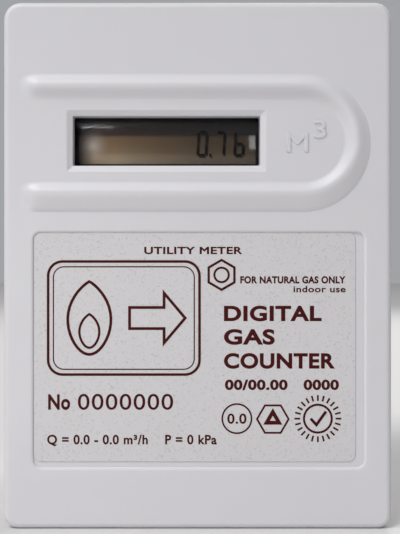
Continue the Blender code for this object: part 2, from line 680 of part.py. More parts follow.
def inlet_strainer():
    """A perforated disc between the inlet fitting and the gas body."""
    centre = (-SOCKET_END_X - GAP, PORT_Y, PORT_Z)
    disc = turned("inlet_strainer", [(10.9, 0), (10.9, 1)], centre, (-1, 0, 0), nickel())
    hole_radius, pitch = 1.3, 3.6
    count = 0
    for row in (-1, 0, 1):
        for column in (-1, 0, 1):
            y = PORT_Y + pitch * (column + 0.5 * (row % 2))
            z = PORT_Z + pitch * row
            hole = [(hole_radius, -OVER), (hole_radius, 1 + OVER)]
            cut(disc, turned(f"cut_mesh_{count}", hole, (centre[0], y, z), (-1, 0, 0), sides=8))
            count += 1


def main():
    for old in list(bpy.data.objects):
        bpy.data.objects.remove(old, do_unlink=True)
    front_cover()
    rear_housing()
    cover_gasket()
    case_fasteners()
    label_plate()
    display()
    circuit_board()
    battery()
    battery_cover()
    gas_body()
    oscillator_block()
    oscillator_lid()
    port("inlet", -1)
    port("outlet", 1)
    inlet_strainer()


main()
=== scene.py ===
"""Looks of a compact electronic gas meter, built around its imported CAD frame.

The visible pieces are finer versions of the CAD nodes and take their places from them.  The front faces -Y.
"""
import json
import math

import bmesh
import bpy
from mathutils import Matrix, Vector


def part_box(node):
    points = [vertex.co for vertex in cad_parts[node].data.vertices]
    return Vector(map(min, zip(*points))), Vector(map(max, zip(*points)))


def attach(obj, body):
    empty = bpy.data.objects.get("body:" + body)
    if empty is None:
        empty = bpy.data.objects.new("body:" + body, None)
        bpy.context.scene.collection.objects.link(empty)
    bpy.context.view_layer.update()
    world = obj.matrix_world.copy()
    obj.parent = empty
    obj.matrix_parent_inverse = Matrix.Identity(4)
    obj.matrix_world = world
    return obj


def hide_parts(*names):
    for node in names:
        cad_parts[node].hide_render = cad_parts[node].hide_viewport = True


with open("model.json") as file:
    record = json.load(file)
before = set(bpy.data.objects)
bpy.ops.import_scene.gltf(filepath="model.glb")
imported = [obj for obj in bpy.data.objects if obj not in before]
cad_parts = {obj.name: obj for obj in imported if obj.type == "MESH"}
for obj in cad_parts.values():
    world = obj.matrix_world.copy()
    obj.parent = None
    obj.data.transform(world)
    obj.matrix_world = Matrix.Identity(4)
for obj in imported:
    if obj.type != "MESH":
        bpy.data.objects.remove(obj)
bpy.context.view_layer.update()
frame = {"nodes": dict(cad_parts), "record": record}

MM = 0.001
GAP = 0.3  # between neighbouring pieces
OVER = 1.0  # how far a cutter reaches past the surface that it opens
ROOT = 0.5  # how far a post or an inner wall reaches into the wall that it stands on
SHARP = 35  # an edge stays sharp where its faces turn by more than this many degrees

# Case
TOP_CORNER = 3.6
BOTTOM_CORNER = 2.9
EDGE_FILLET = 1.3
SEAM_CHAMFER = 0.3
FRONT_WALL = 2.0
COVER_WALL = 2.6
HOUSING_WALL = 2.8
BACK_WALL = 2.4
TONGUE_OUT = 1.6
TONGUE_IN = 2.8
TONGUE_LENGTH = 2.65
GASKET_LENGTH = 1.3
LID_THICKNESS = 1.6
LID_SCREW_Z = 34.6
LID_GRIPS = (12.5, 15.5, 18.5)  # heights of the grooves for the thumb
BAY = (-29.0, 29.0, 9.0, 29.0)  # battery bay; sides are always left, right, bottom, top
BAY_FRONT = 12.0
BAY_WALL = 1.5
PORT_HOLE = 12.9  # radius
LEAD_HOLE = (27, 19, 1.2)  # x, z and radius of the holes for the battery's leads

# Screws: places (x, z) and the radii of their posts and holes
CASE_SCREWS = [(side * 34.5, z) for z in (7.5, 102.5) for side in (-1, 1)]
BOARD_SCREWS = [(side * 32.0, z) for z in (16.0, 95.0) for side in (-1, 1)]
BODY_SCREWS = [(side * 20.0, z) for z in (36.5, 99.5) for side in (-1, 1)]
CASE_BOSS = 3.5
CASE_POST = 4.2
CASE_HOLE = 1.8
CASE_HEAD = 3.3
CASE_HEAD_Y = 22.0
BOARD_STAND = 2.5
BOARD_HOLE = 1.4
BODY_POST = 3.2
LID_BOSS = 3.0

# Front: label recess, display well and the bead round the display
LABEL = (-34.6, 35.1, 12.5, 62.2)
LABEL_CORNER = 1.9
LABEL_DEPTH = 0.45
LABEL_ROLL = (0.7, 0.35)  # width and depth of the recess's soft edge
WELL_FRONT = (-26.1, 13.1, 75.7, 86.2)
WELL_BACK = (-26.4, 13.1, 76.4, 86.6)
WELL_DEPTH = 5.9
WELL_LIP = (1.2, 0.6)  # width and depth of the chamfer round its mouth
WELL_CORNER = 0.35
WELL_WALL = 1.5
BEAD_HEIGHT = 1.2
BEAD_LEFT = -37.4
BEAD_CENTRE = (22.0, 81.35)
BEAD_RADIUS = 11.15
BEAD_FADE = (0.0, 0.06, 0.22, 0.45, 0.7, 0.88, 0.97, 1.0)  # its rise at even steps from its left end
BEAD_FADE_LENGTH = 5.0

# Display
FILM = (-25.75, 12.55, 77.0, 86.1)
FILM_SHADE_RISE = (  # its colour from its lower edge to its upper edge: the film's brown, lighter towards the bottom as painted light and dark at the top as painted shade under the well's top edge
    (0.0, (0.90, 0.71, 0.49)), (0.15, (0.68, 0.515, 0.335)), (0.28, (0.42, 0.285, 0.155)),
    (0.45, (0.32, 0.207, 0.11)), (0.62, (0.28, 0.172, 0.092)), (0.70, (0.065, 0.038, 0.028)),
    (0.88, (0.03, 0.016, 0.014)), (1.0, (0.007, 0.004, 0.004)),
)
FILM_LIGHT_FADE = (  # how much of that colour is left from its left end to its right end: a painted reflection, brightest near the left end and darker towards the right, with painted shade at the left edge
    (0.0, 0.1), (0.045, 0.5), (0.09, 0.95), (0.2, 0.97), (0.31, 0.71), (0.45, 0.52), (0.6, 0.38),
    (0.72, 0.3), (1.0, 0.26),
)
# a painted pool of light on the film near its left end, and its radius
FILM_LIGHT_SPOT = (-22.8, -24.6, 80.9)
FILM_LIGHT_SPOT_RADIUS = 4.2
DIGIT_HEIGHT = 4.95
DIGIT_WIDTH = 1.8
DIGIT_STROKE = 0.56
DIGIT_LEAN = 0.07
DIGIT_BASE_Z = 78.95
READING = (("abcdef", -0.05), ("abc", 3.8), ("cdefg", 7.95))  # lit segments and left end of each digit
POINT_X = 2.72

# Label: each line's words, size, x, z, thickening, width and alignment
WORDS = (
    ("UTILITY METER", 2.05, -0.9, 57.4, 0.07, 20.5, "CENTER"),
    ("FOR NATURAL GAS ONLY", 1.95, 8.9, 51.3, 0.09, 22.0, "LEFT"),
    ("indoor use", 1.85, 20.0, 49.4, 0.05, 10.9, "LEFT"),
    ("DIGITAL", 4.25, 5.5, 43.5, 0.16, 20.4, "LEFT"),
    ("GAS", 4.25, 5.5, 38.6, 0.16, 10.6, "LEFT"),
    ("COUNTER", 4.25, 5.5, 33.6, 0.16, 23.2, "LEFT"),
    ("00/00.00   0000", 2.8, 5.7, 29.1, 0.12, 23.8, "LEFT"),
    ("No", 4.3, -31.2, 25.0, 0.15, 4.6, "LEFT"),
    ("0000000", 4.7, -25.0, 24.9, 0.03, 19.9, "LEFT"),
    ("Q = 0.0 - 0.0 m³/h    P = 0 kPa", 2.7, -31.4, 17.7, 0.08, 35.4, "LEFT"),
    ("0.0", 2.9, 8.2, 22.0, 0.07, 4.0, "CENTER"),
)
PRINT_HEIGHT = 0.02
SIGN_FRAME = (-31.2, 0.4, 32.2, 55.8)  # round the flame and the arrow
SIGN_INNER_FRAME = (-30.1, -0.7, 33.3, 54.7)
FLAME_X = -22.6
ARROW = (-14.2, -7.0, -2.6, 44.0)  # tail, root of the head, tip, height of its middle
ARROW_HALF_SHAFT = 2.2
ARROW_HALF_HEAD = 5.2
RING_SIGN = (5.0, 53.0)
ROUND_SIGN = (8.2, 23.0)
TRIANGLE_SIGN = (15.7, 22.9)
TICK_SIGN = (25.1, 23.0)

# Colours
INK = (0.05, 0.001, 0.001)
WHITE = (0.60, 0.59, 0.61)


# --- Mesh helpers ---------------------------------------------------------------------------------
def mm_box(node):
    """A CAD node's lowest and highest corners in millimetres."""
    low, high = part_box(node)
    return low / MM, high / MM


def new_piece(name, mesh, sharp=SHARP):
    """Turns a bmesh in millimetres into a smooth-shaded object in metres."""
    bmesh.ops.recalc_face_normals(mesh, faces=mesh.faces)
    bmesh.ops.scale(mesh, vec=(MM, MM, MM), verts=mesh.verts)
    data = bpy.data.meshes.new(name)
    mesh.to_mesh(data)
    mesh.free()
    data.shade_smooth()
    data.set_sharp_from_angle(angle=math.radians(sharp))
    made = bpy.data.objects.new(name, data)
    bpy.context.collection.objects.link(made)
    return made


def loft(name, rings, endless=False, sharp=SHARP):
    """Skins a row of rings; the ends are capped, or joined to each other when endless."""
    mesh = bmesh.new()
    rows = [[mesh.verts.new(point) for point in ring] for ring in rings]
    pairs = list(zip(rows, rows[1:]))
    if endless:
        pairs.append((rows[-1], rows[0]))
    else:
        mesh.faces.new(rows[0])
        mesh.faces.new(rows[-1])
    for near, far in pairs:
        for i in range(len(near)):
            j = (i + 1) % len(near)
            mesh.faces.new((near[i], near[j], far[j], far[i]))
    return new_piece(name, mesh, sharp)


def rounded_rect(sides, top_radius, bottom_radius=None, inset=0.0, steps=8):
    """Outline (x, z) of a rectangle with round corners, inset on every side."""
    left, right, bottom, top = sides
    bottom_radius = top_radius if bottom_radius is None else bottom_radius
    top_radius = max(top_radius - inset, 0.05)
    bottom_radius = max(bottom_radius - inset, 0.05)
    corners = [
        (right - inset, top - inset, -1, -1, top_radius, 0),
        (left + inset, top - inset, 1, -1, top_radius, 90),
        (left + inset, bottom + inset, 1, 1, bottom_radius, 180),
        (right - inset, bottom + inset, -1, 1, bottom_radius, 270),
    ]
    points = []
    for x, z, to_x, to_z, radius, start in corners:
        for step in range(steps + 1):
            angle = math.radians(start + 90 * step / steps)
            points.append((
                x + to_x * radius + radius * math.cos(angle),
                z + to_z * radius + radius * math.sin(angle),
            ))
    return points


def at_depth(outline, y):
    return [(x, y, z) for x, z in outline]


def prism(name, outline, y_front, y_back):
    return loft(name, [at_depth(outline, y_front), at_depth(outline, y_back)])


def round_over(radius, steps=6):
    """(inset, depth) pairs of a quarter-round edge, from the face inwards."""
    pairs = []
    for step in range(steps + 1):
        angle = math.pi / 2 * step / steps
        pairs.append((radius * (1 - math.sin(angle)), radius * (1 - math.cos(angle))))
    return pairs


def grown(sides, by):
    """A rectangle's sides moved outwards."""
    left, right, bottom, top = sides
    return (left - by, right + by, bottom - by, top + by)


def block(name, sides, y_front, y_back, corner, edge):
    """A block with round corners in the front view and rounded front and back edges."""
    pairs = round_over(edge, 3)
    levels = [(inset, y_front + depth) for inset, depth in pairs]
    levels += [(inset, y_back - depth) for inset, depth in reversed(pairs)]
    made = loft(name, [at_depth(rounded_rect(sides, corner, inset=inset, steps=6), y) for inset, y in levels])
    even_shading(made)
    return made


def pocket(name, sides, y_mouth, y_floor, corner, lip, inward=1):
    """Cutter of a pocket whose mouth has a rounded lip, lip being its (width, depth).

    inward is the sign of Y into the material.
    """
    width, depth = lip
    rings = [at_depth(rounded_rect(sides, corner, inset=-width), y_mouth - inward * OVER)]
    for outset, drop in round_over(1.0, 8):
        y = y_mouth + inward * depth * drop
        rings.append(at_depth(rounded_rect(sides, corner, inset=-outset * width), y))
    rings.append(at_depth(rounded_rect(sides, corner), y_floor))
    return loft(name, rings)


def turned(name, profile, centre, direction, sides=64, endless=False, sharp=SHARP):
    """Turns (radius, distance) pairs around an axis; a radius may be a function of the angle."""
    axis = Vector(direction)
    up = Vector((0, 0, 1))
    across = axis.cross(up)
    rings = []
    for radius, distance in profile:
        ring = []
        for i in range(sides):
            angle = 2 * math.pi * i / sides
            reach = radius(angle) if callable(radius) else radius
            spoke = up * math.cos(angle) + across * math.sin(angle)
            ring.append(Vector(centre) + axis * distance + spoke * reach)
        rings.append(ring)
    return loft(name, rings, endless, sharp)


def post(name, x, z, radius, y_front, y_back, sides=24):
    return turned(name, [(radius, 0), (radius, y_back - y_front)], (x, y_front, z), (0, 1, 0), sides)


def settle(piece):
    """Keeps what a piece's modifiers make as its mesh."""
    graph = bpy.context.evaluated_depsgraph_get()
    done = bpy.data.meshes.new_from_object(piece.evaluated_get(graph), depsgraph=graph)
    piece.modifiers.clear()
    piece.data = done


def carve(piece, steps, sharp=SHARP):
    """Joins or cuts away each (operation, tool) in turn, then evens out the shading."""
    for operation, tool in steps:
        change = piece.modifiers.new(tool.name, "BOOLEAN")
        change.operation = operation
        change.solver = "EXACT"
        change.object = tool
    settle(piece)
    for _, tool in steps:
        bpy.data.objects.remove(tool, do_unlink=True)
    piece.data.shade_smooth()
    piece.data.set_sharp_from_angle(angle=math.radians(sharp))
    even_shading(piece)


def even_shading(piece):
    piece.modifiers.new("weighted", "WEIGHTED_NORMAL").keep_sharp = True
    settle(piece)


def joined(name, pieces):
    """One object from several, with the first one's materials."""
    mesh = bmesh.new()
    for piece in pieces:
        mesh.from_mesh(piece.data)
        bpy.data.objects.remove(piece, do_unlink=True)
    data = bpy.data.meshes.new(name)
    mesh.to_mesh(data)
    mesh.free()
    made = bpy.data.objects.new(name, data)
    bpy.context.collection.objects.link(made)
    return made


def place(piece, body, slot, finish, *nodes):
    """Gives a piece its material and body, and hides the CAD nodes that it stands for; slot is not used."""
    piece.data.materials.clear()
    piece.data.materials.append(finish)
    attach(piece, body)
    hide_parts(*nodes)
    return piece


# --- Materials ------------------------------------------------------------------------------------
def tint(colour, factor):
    return (*(min(1.0, channel * factor) for channel in colour), 1.0)


def surface(name, colour, roughness, metallic=0.0, variation=0.03, patch=12.0, spread=0.05,
            grain=0.2, depth=0.01, coat=0.0, specks=0.0):
    """A procedural finish: patches of tone and gloss, fine grain as bump, and optional dark specks.

    patch and grain are feature sizes and depth is the grain's height, all in millimetres.
    """
    made = bpy.data.materials.new(name)
    made.use_nodes = True
    tree = made.node_tree
    nodes, links = tree.nodes, tree.links
    shader = nodes["Principled BSDF"]
    shader.inputs["Metallic"].default_value = metallic
    shader.inputs["Coat Weight"].default_value = coat
    coordinates = nodes.new("ShaderNodeTexCoord")

    def noise(size, detail):
        node = nodes.new("ShaderNodeTexNoise")
        node.inputs["Scale"].default_value = 1 / (size * MM)
        node.inputs["Detail"].default_value = detail
        links.new(coordinates.outputs["Object"], node.inputs["Vector"])
        return node.outputs["Fac"]

    def mapped(value, low, high, to_low, to_high):
        node = nodes.new("ShaderNodeMapRange")
        node.inputs["From Min"].default_value = low
        node.inputs["From Max"].default_value = high
        node.inputs["To Min"].default_value = to_low
        node.inputs["To Max"].default_value = to_high
        links.new(value, node.inputs["Value"])
        return node.outputs["Result"]

    tone = nodes.new("ShaderNodeMix")
    tone.data_type = "RGBA"
    tone.inputs["A"].default_value = tint(colour, 1 - variation)
    tone.inputs["B"].default_value = tint(colour, 1 + variation)
    links.new(noise(patch, 4), tone.inputs["Factor"])
    colour_out = tone.outputs["Result"]
    if specks:
        dark = nodes.new("ShaderNodeMix")
        dark.data_type = "RGBA"
        dark.inputs["B"].default_value = tint(colour, 0.7)
        links.new(colour_out, dark.inputs["A"])
        links.new(mapped(noise(grain * 1.7, 2), 0.58, 0.75, 0.0, specks), dark.inputs["Factor"])
        colour_out = dark.outputs["Result"]
    links.new(colour_out, shader.inputs["Base Color"])

    gloss = mapped(noise(patch * 0.4, 5), 0.3, 0.7, roughness - spread, roughness + spread)
    links.new(gloss, shader.inputs["Roughness"])

    bump = nodes.new("ShaderNodeBump")
    bump.inputs["Distance"].default_value = depth * MM
    bump.inputs["Strength"].default_value = 1.0
    links.new(noise(grain, 3), bump.inputs["Height"])
    links.new(bump.outputs["Normal"], shader.inputs["Normal"])
    return made


def case_plastic():
    """White moulded plastic, slightly translucent."""
    made = surface("case_plastic", WHITE, 0.46, variation=0.012, patch=26, grain=0.16, depth=0.006)
    shader = made.node_tree.nodes["Principled BSDF"]
    shader.inputs["Subsurface Weight"].default_value = 0.3
    shader.inputs["Subsurface Radius"].default_value = (1.0, 0.9, 0.85)
    shader.inputs["Subsurface Scale"].default_value = 1.8 * MM
    return made


def label_film():
    return surface("label_film", (0.56, 0.545, 0.555), 0.5, variation=0.02, patch=9, grain=0.22,
                   depth=0.025, specks=0.9)


def printing_ink():
    made = surface("label_ink", INK, 0.6, variation=0.25, patch=1.2, spread=0.08, grain=0.12, depth=0.003)
    made.node_tree.nodes["Principled BSDF"].inputs["Specular IOR Level"].default_value = 0.15
    return made


def digit_ink():
    made = surface("display_ink", (0.006, 0.002, 0.002), 0.5, variation=0.2, grain=0.3, depth=0.0005)
    made.node_tree.nodes["Principled BSDF"].inputs["Specular IOR Level"].default_value = 0.1
    return made


def digit_shade():
    """The see-through shadow that the digits cast on the film."""
    made = surface("display_shade", (0.006, 0.005, 0.004), 0.6, variation=0.2, grain=0.3, depth=0.0005)
    made.node_tree.nodes["Principled BSDF"].inputs["Alpha"].default_value = 0.3
    return made


def clear_pane():
    """Clear acrylic: mostly see-through, with a glossy surface and faint smears."""
    made = surface("clear_acrylic", (0.05, 0.055, 0.055), 0.03, variation=0.1, spread=0.01, grain=2,
                   depth=0.0002)
    shader = made.node_tree.nodes["Principled BSDF"]
    shader.inputs["Alpha"].default_value = 0.06
    shader.inputs["IOR"].default_value = 1.49
    return made


def display_film_painted_light():
    """The display's reflector: brown, with painted shade at the top, painted light below and a painted pool
    of light near its left end.
    """
    made = surface("display_film_painted_light", (0.1, 0.075, 0.05), 0.02, variation=0.06, patch=3, spread=0.005,
                   grain=0.5, depth=0.0001)
    tree = made.node_tree
    nodes, links = tree.nodes, tree.links
    coordinates = nodes.new("ShaderNodeTexCoord")
    split = nodes.new("ShaderNodeSeparateXYZ")
    links.new(coordinates.outputs["Object"], split.inputs["Vector"])

    def ramp(axis, start, end, stops):
        scaled = nodes.new("ShaderNodeMapRange")
        scaled.inputs["From Min"].default_value = start * MM
        scaled.inputs["From Max"].default_value = end * MM
        links.new(split.outputs[axis], scaled.inputs["Value"])
        node = nodes.new("ShaderNodeValToRGB")
        elements = node.color_ramp.elements
        elements.remove(elements[1])
        for i, (position, colour) in enumerate(stops):
            element = elements[0] if i == 0 else elements.new(position)
            element.position = position
            element.color = (*colour, 1)
        links.new(scaled.outputs["Result"], node.inputs["Fac"])
        return node.outputs["Color"]

    def mixed(kind, factor, first, second):
        node = nodes.new("ShaderNodeMix")
        node.data_type = "RGBA"
        node.blend_type = kind
        node.inputs["Factor"].default_value = factor
        links.new(first, node.inputs["A"])
        links.new(second, node.inputs["B"])
        return node.outputs["Result"]

    film_left, film_right, film_bottom, film_top = FILM
    # painted shade and light: the film's brown, dark at the top, lighter towards the bottom
    rise = ramp("Z", film_bottom, film_top, FILM_SHADE_RISE)
    # painted reflection: brightest near the left end, darker towards the right and at the left edge
    light_fade = ramp("X", film_left, film_right, [(position, (left,) * 3) for position, left in FILM_LIGHT_FADE])
    # a painted pool of light near the film's left end
    painted_light_place = nodes.new("ShaderNodeMapping")
    painted_light_place.vector_type = "TEXTURE"
    painted_light_place.inputs["Location"].default_value = Vector(FILM_LIGHT_SPOT) * MM
    painted_light_place.inputs["Scale"].default_value = Vector((1, 1, 1)) * FILM_LIGHT_SPOT_RADIUS * MM
    links.new(coordinates.outputs["Object"], painted_light_place.inputs["Vector"])
    painted_light_spot = nodes.new("ShaderNodeTexGradient")
    painted_light_spot.gradient_type = "QUADRATIC_SPHERE"
    links.new(painted_light_place.outputs["Vector"], painted_light_spot.inputs["Vector"])
    # the film's brown times the painted shade and painted reflection, plus the painted pool of light
    shaded_colour = mixed("MULTIPLY", 1.0, rise, light_fade)
    lit_colour = mixed("ADD", 0.55, shaded_colour, painted_light_spot.outputs["Color"])
    links.new(lit_colour, nodes["Principled BSDF"].inputs["Base Color"])
    return made


# --- Case -----------------------------------------------------------------------------------------
def case_sides():
    low, high = mm_box("front_cover")
    return (low.x, high.x, low.z, high.z)


def case_outline(inset=0.0):
    return rounded_rect(case_sides(), TOP_CORNER, BOTTOM_CORNER, inset, steps=10)


def edge_rings(outer_y, inward):
    """Rings of the rounded edge at the front or back face; inward is the sign of Y into the case."""
    pairs = round_over(EDGE_FILLET, 8)
    return [at_depth(case_outline(inset), outer_y + inward * depth) for inset, depth in pairs]


def face_y():
    return mm_box("front_cover")[0].y + BEAD_HEIGHT


def ramp_height(part, crest=0.28, foot=0.85, slope=1.03):
    """Height of a straight flank at a part of its width, rounded near the crest and steeper at the foot."""
    if part < crest:
        return 1 - slope * part * part / (2 * crest)
    if part < foot:
        return 1 - slope * (part - crest / 2)
    return (1 - slope * (foot - crest / 2)) * (1 - part) / (1 - foot)


def display_bead():
    """The raised bead along the display's top, round its right end and back below it.

    It is a soft wave.  Its outer flank is narrow at the top, and wide at the bottom, where it ends in
    a crease.
    """
    centre_x, centre_z = BEAD_CENTRE
    stride = BEAD_FADE_LENGTH / (len(BEAD_FADE) - 1)
    stations = [(BEAD_LEFT + stride * i, 90, rise) for i, rise in enumerate(BEAD_FADE)]
    stations += [(centre_x, angle, 1.0) for angle in range(90, -91, -5)]
    stations += [(x, -90, rise) for x, _, rise in reversed(stations[:len(BEAD_FADE)])]
    surface_y = face_y()
    lift = 0.012  # the bead's edge lies this far inside the face
    steps = 9
    rings = []
    for x, degrees, rise in stations:
        angle = math.radians(degrees)
        down = (1 - math.sin(angle)) / 2  # 0 at the top, 1 at the bottom
        inner_reach = 3.2 - 0.8 * down
        outer_reach = 2.6 + 1.5 * down * down
        section = []
        for i in range(2 * steps + 1):
            part = i / steps - 1
            reach = part * (outer_reach if part > 0 else inner_reach)
            soft = 0.5 + 0.5 * math.cos(math.pi * part)
            share = down if part > 0 else 0.0
            height = soft * (1 - share) + ramp_height(part) * share
            section.append((reach, surface_y + lift - height * max(rise, 0.005) * BEAD_HEIGHT))
        section = [(-inner_reach, surface_y + OVER), *section, (outer_reach, surface_y + OVER)]
        ring = []
        for reach, y in section:
            distance = BEAD_RADIUS + reach
            ring.append((x + distance * math.cos(angle), y, centre_z + distance * math.sin(angle)))
        rings.append(ring)
    return loft("bead", rings)


def display_well():
    """Cutter of the tapered well in front of the display, with a broad chamfer round its mouth."""
    surface_y = face_y()
    lip_width, lip_depth = WELL_LIP
    levels = ((-OVER, lip_width), (0.0, lip_width), (lip_depth, 0.0), (WELL_DEPTH + OVER, 0.0))
    rings = []
    for depth, outset in levels:
        part = max(depth, 0.0) / WELL_DEPTH
        sides = [front + (back - front) * part for front, back in zip(WELL_FRONT, WELL_BACK)]
        outline = rounded_rect(sides, WELL_CORNER - outset, inset=-outset, steps=4)
        rings.append(at_depth(outline, surface_y + depth))
    return loft("well", rings)


def label_recess(surface_y):
    """Cutter of the shallow recess for the label, whose wall rolls softly into the face."""
    half_roll = LABEL_ROLL[0] / 2
    floor_y = surface_y + LABEL_DEPTH
    corner = LABEL_CORNER - half_roll
    return pocket("recess", grown(LABEL, -half_roll), surface_y, floor_y, corner, LABEL_ROLL)


def seam_ring(name, outer_inset, inner_inset, y_front, y_back):
    """A ring that follows the case's outline between two insets."""
    corners = ((outer_inset, y_front), (outer_inset, y_back), (inner_inset, y_back), (inner_inset, y_front))
    return loft(name, [at_depth(case_outline(inset), y) for inset, y in corners], endless=True)


def front_shell(white):
    surface_y = face_y()
    back_y = mm_box("front_cover")[1].y
    seam = [at_depth(case_outline(), back_y - SEAM_CHAMFER), at_depth(case_outline(SEAM_CHAMFER), back_y)]
    shell = loft("front_shell", edge_rings(surface_y, 1) + seam)
    inner_y = surface_y + FRONT_WALL
    root_y = inner_y - ROOT
    boss_y = back_y - 1
    case_pilot_y, board_pilot_y = -24, -26
    board_y = mm_box("main_pcb")[0].y - GAP
    well_outline = rounded_rect(grown(WELL_BACK, WELL_WALL), 1.0)
    steps = [("DIFFERENCE", prism("inside", case_outline(COVER_WALL), inner_y, back_y + OVER))]
    steps += [("UNION", post("boss", x, z, CASE_BOSS, root_y, boss_y)) for x, z in CASE_SCREWS]
    steps += [("UNION", post("stand", x, z, BOARD_STAND, root_y, board_y)) for x, z in BOARD_SCREWS]
    steps += [
        ("UNION", prism("well_wall", well_outline, root_y, surface_y + WELL_DEPTH)),
        ("UNION", display_bead()),
        ("DIFFERENCE", display_well()),
        ("DIFFERENCE", label_recess(surface_y)),
    ]
    for x, z in CASE_SCREWS:
        steps.append(("DIFFERENCE", post("pilot", x, z, CASE_HOLE, case_pilot_y, back_y + OVER)))
    for x, z in BOARD_SCREWS:
        steps.append(("DIFFERENCE", post("pilot", x, z, BOARD_HOLE, board_pilot_y, board_y + OVER)))
    groove_y = back_y - TONGUE_LENGTH - GASKET_LENGTH - 2 * GAP
    groove = seam_ring("groove", TONGUE_OUT - GAP, TONGUE_IN + GAP, groove_y, back_y + OVER)
    steps.append(("DIFFERENCE", groove))
    carve(shell, steps, sharp=18)
    place(shell, "meter", "case_white", white, "front_cover")


def glyphs(name, words, size, x, z, y_face, width, align="LEFT", raise_by=0.0, bevel=0.0, flat=1.0):
    """Letters of a given overall width on a plane that faces -Y; x is their left end, or their middle.

    bevel rounds and thickens their edges, and flat scales their height down to print.
    """
    curve = bpy.data.curves.new(name, "FONT")
    curve.body = words
    curve.size = size
    curve.space_character = 1.08
    curve.align_x = align
    curve.extrude = raise_by
    curve.bevel_depth = bevel
    curve.bevel_resolution = 2
    made = bpy.data.objects.new(name, curve)
    bpy.context.collection.objects.link(made)
    graph = bpy.context.evaluated_depsgraph_get()
    data = bpy.data.meshes.new_from_object(made.evaluated_get(graph), depsgraph=graph)
    bpy.data.objects.remove(made, do_unlink=True)
    xs = [vertex.co.x for vertex in data.vertices]
    factor = width / (max(xs) - min(xs))
    start = min(xs) if align == "LEFT" else (min(xs) + max(xs)) / 2
    for vertex in data.vertices:
        across, up, out = vertex.co
        vertex.co = Vector((x + (across - start) * factor, y_face - out * flat, z + up)) * MM
    piece = bpy.data.objects.new(name, data)
    bpy.context.collection.objects.link(piece)
    return piece


def unit_mark(white):
    """The unit, moulded in low relief to the right of the display."""
    root_y = face_y() + 0.05
    letter = glyphs("letter", "M", 5.6, 18.6, 78.7, root_y, width=4.5, raise_by=0.14, bevel=0.09)
    power = glyphs("power", "3", 5.2, 24.3, 81.6, root_y, width=2.5, raise_by=0.17, bevel=0.09)
    place(joined("unit_mark", [letter, power]), "meter", "case_white", white)


# --- Label ----------------------------------------------------------------------------------------
def stroke(name, points, width, y, closed=False):
    """A printed line of even width along (x, z) points."""
    mesh = bmesh.new()
    count = len(points)
    edges = []
    for i in range(count):
        here = Vector(points[i])
        before = Vector(points[i - 1]) if closed or i > 0 else here
        after = Vector(points[(i + 1) % count]) if closed or i < count - 1 else here
        into = (here - before).normalized()
        out = (after - here).normalized()
        along = (into + out).normalized()
        normal = Vector((-along.y, along.x))
        lean = max(abs(normal.dot(Vector((-out.y, out.x)) if out.length else normal)), 0.35)
        offset = normal * (width / 2 / lean)
        edges.append((here + offset, here - offset))
    for depth in (0.0, PRINT_HEIGHT):
        rows = [[mesh.verts.new((side.x, y - depth, side.y)) for side in pair] for pair in edges]
        pairs = list(zip(rows, rows[1:]))
        if closed:
            pairs.append((rows[-1], rows[0]))
        for near, far in pairs:
            mesh.faces.new((near[0], near[1], far[1], far[0]))
    return new_piece(name, mesh)


def circle(centre, radius, count=48, start=90):
    """A circle, or with a low count a regular polygon whose first corner is at the start angle."""
    points = []
    for i in range(count):
        angle = math.radians(start + 360 * i / count)
        points.append((centre[0] + radius * math.cos(angle), centre[1] + radius * math.sin(angle)))
    return points


def flame(x, z, height):
    """Outline of a plain gas flame, symmetric about x, standing on z."""
    points = []
    for i in range(40):
        turn = 2 * math.pi * i / 40
        rise = 0.5 - 0.5 * math.cos(turn)
        half = 0.36 * math.sin(turn) * (1 - rise) ** 0.35 * (0.75 + 0.6 * rise)
        points.append((x + half * height, z + rise * height))
    return points


def flow_sign():
    """Outline of the printed flow arrow."""
    tail, root, tip, middle = ARROW
    low_shaft, high_shaft = middle - ARROW_HALF_SHAFT, middle + ARROW_HALF_SHAFT
    return [
        (tail, high_shaft), (root, high_shaft), (root, middle + ARROW_HALF_HEAD), (tip, middle),
        (root, middle - ARROW_HALF_HEAD), (root, low_shaft), (tail, low_shaft),
    ]


def label():
    low, high = mm_box("label_plate")
    sides = (low.x, high.x, low.z, high.z)
    plate = block("label_sheet", sides, low.y, high.y, LABEL_CORNER - GAP, 0.12)
    place(plate, "meter", "label_film", label_film(), "label_plate")

    y = low.y - 0.005
    prints = []
    for i, (words, size, x, z, bold, width, align) in enumerate(WORDS):
        prints.append(glyphs(f"text_{i}", words, size, x, z, y, width, align, bevel=bold, flat=0.1))

    def line(points, width, closed=True):
        prints.append(stroke(f"line_{len(prints)}", points, width, y, closed))

    line(rounded_rect(SIGN_FRAME, 3.0), 0.55)
    line(rounded_rect(SIGN_INNER_FRAME, 2.2), 0.25)
    line(flame(FLAME_X, 36.4, 15.2), 0.6)
    line(flame(FLAME_X, 37.8, 7.0), 0.5)
    line(flow_sign(), 0.6)
    line(circle(RING_SIGN, 3.1, 6), 0.5)
    line(circle(RING_SIGN, 1.5), 0.45)
    line(circle(ROUND_SIGN, 3.05), 0.35)
    line(circle(TRIANGLE_SIGN, 3.3, 6, 0), 0.4)
    line(circle(TRIANGLE_SIGN, 1.5, 3), 0.8)
    line(circle(TICK_SIGN, 2.9), 0.45)
    tick_x, tick_z = TICK_SIGN
    tick = [(tick_x - 1.5, tick_z), (tick_x - 0.3, tick_z - 1.3), (tick_x + 1.7, tick_z + 1.5)]
    line(tick, 0.6, closed=False)
    ray_count = 24
    inner_ends = circle(TICK_SIGN, 3.7, ray_count, 0)
    outer_ends = circle(TICK_SIGN, 4.9, ray_count, 0)
    for ends in zip(inner_ends, outer_ends):
        line(ends, 0.38, closed=False)
    place(joined("label_print", prints), "meter", "label_film", printing_ink())


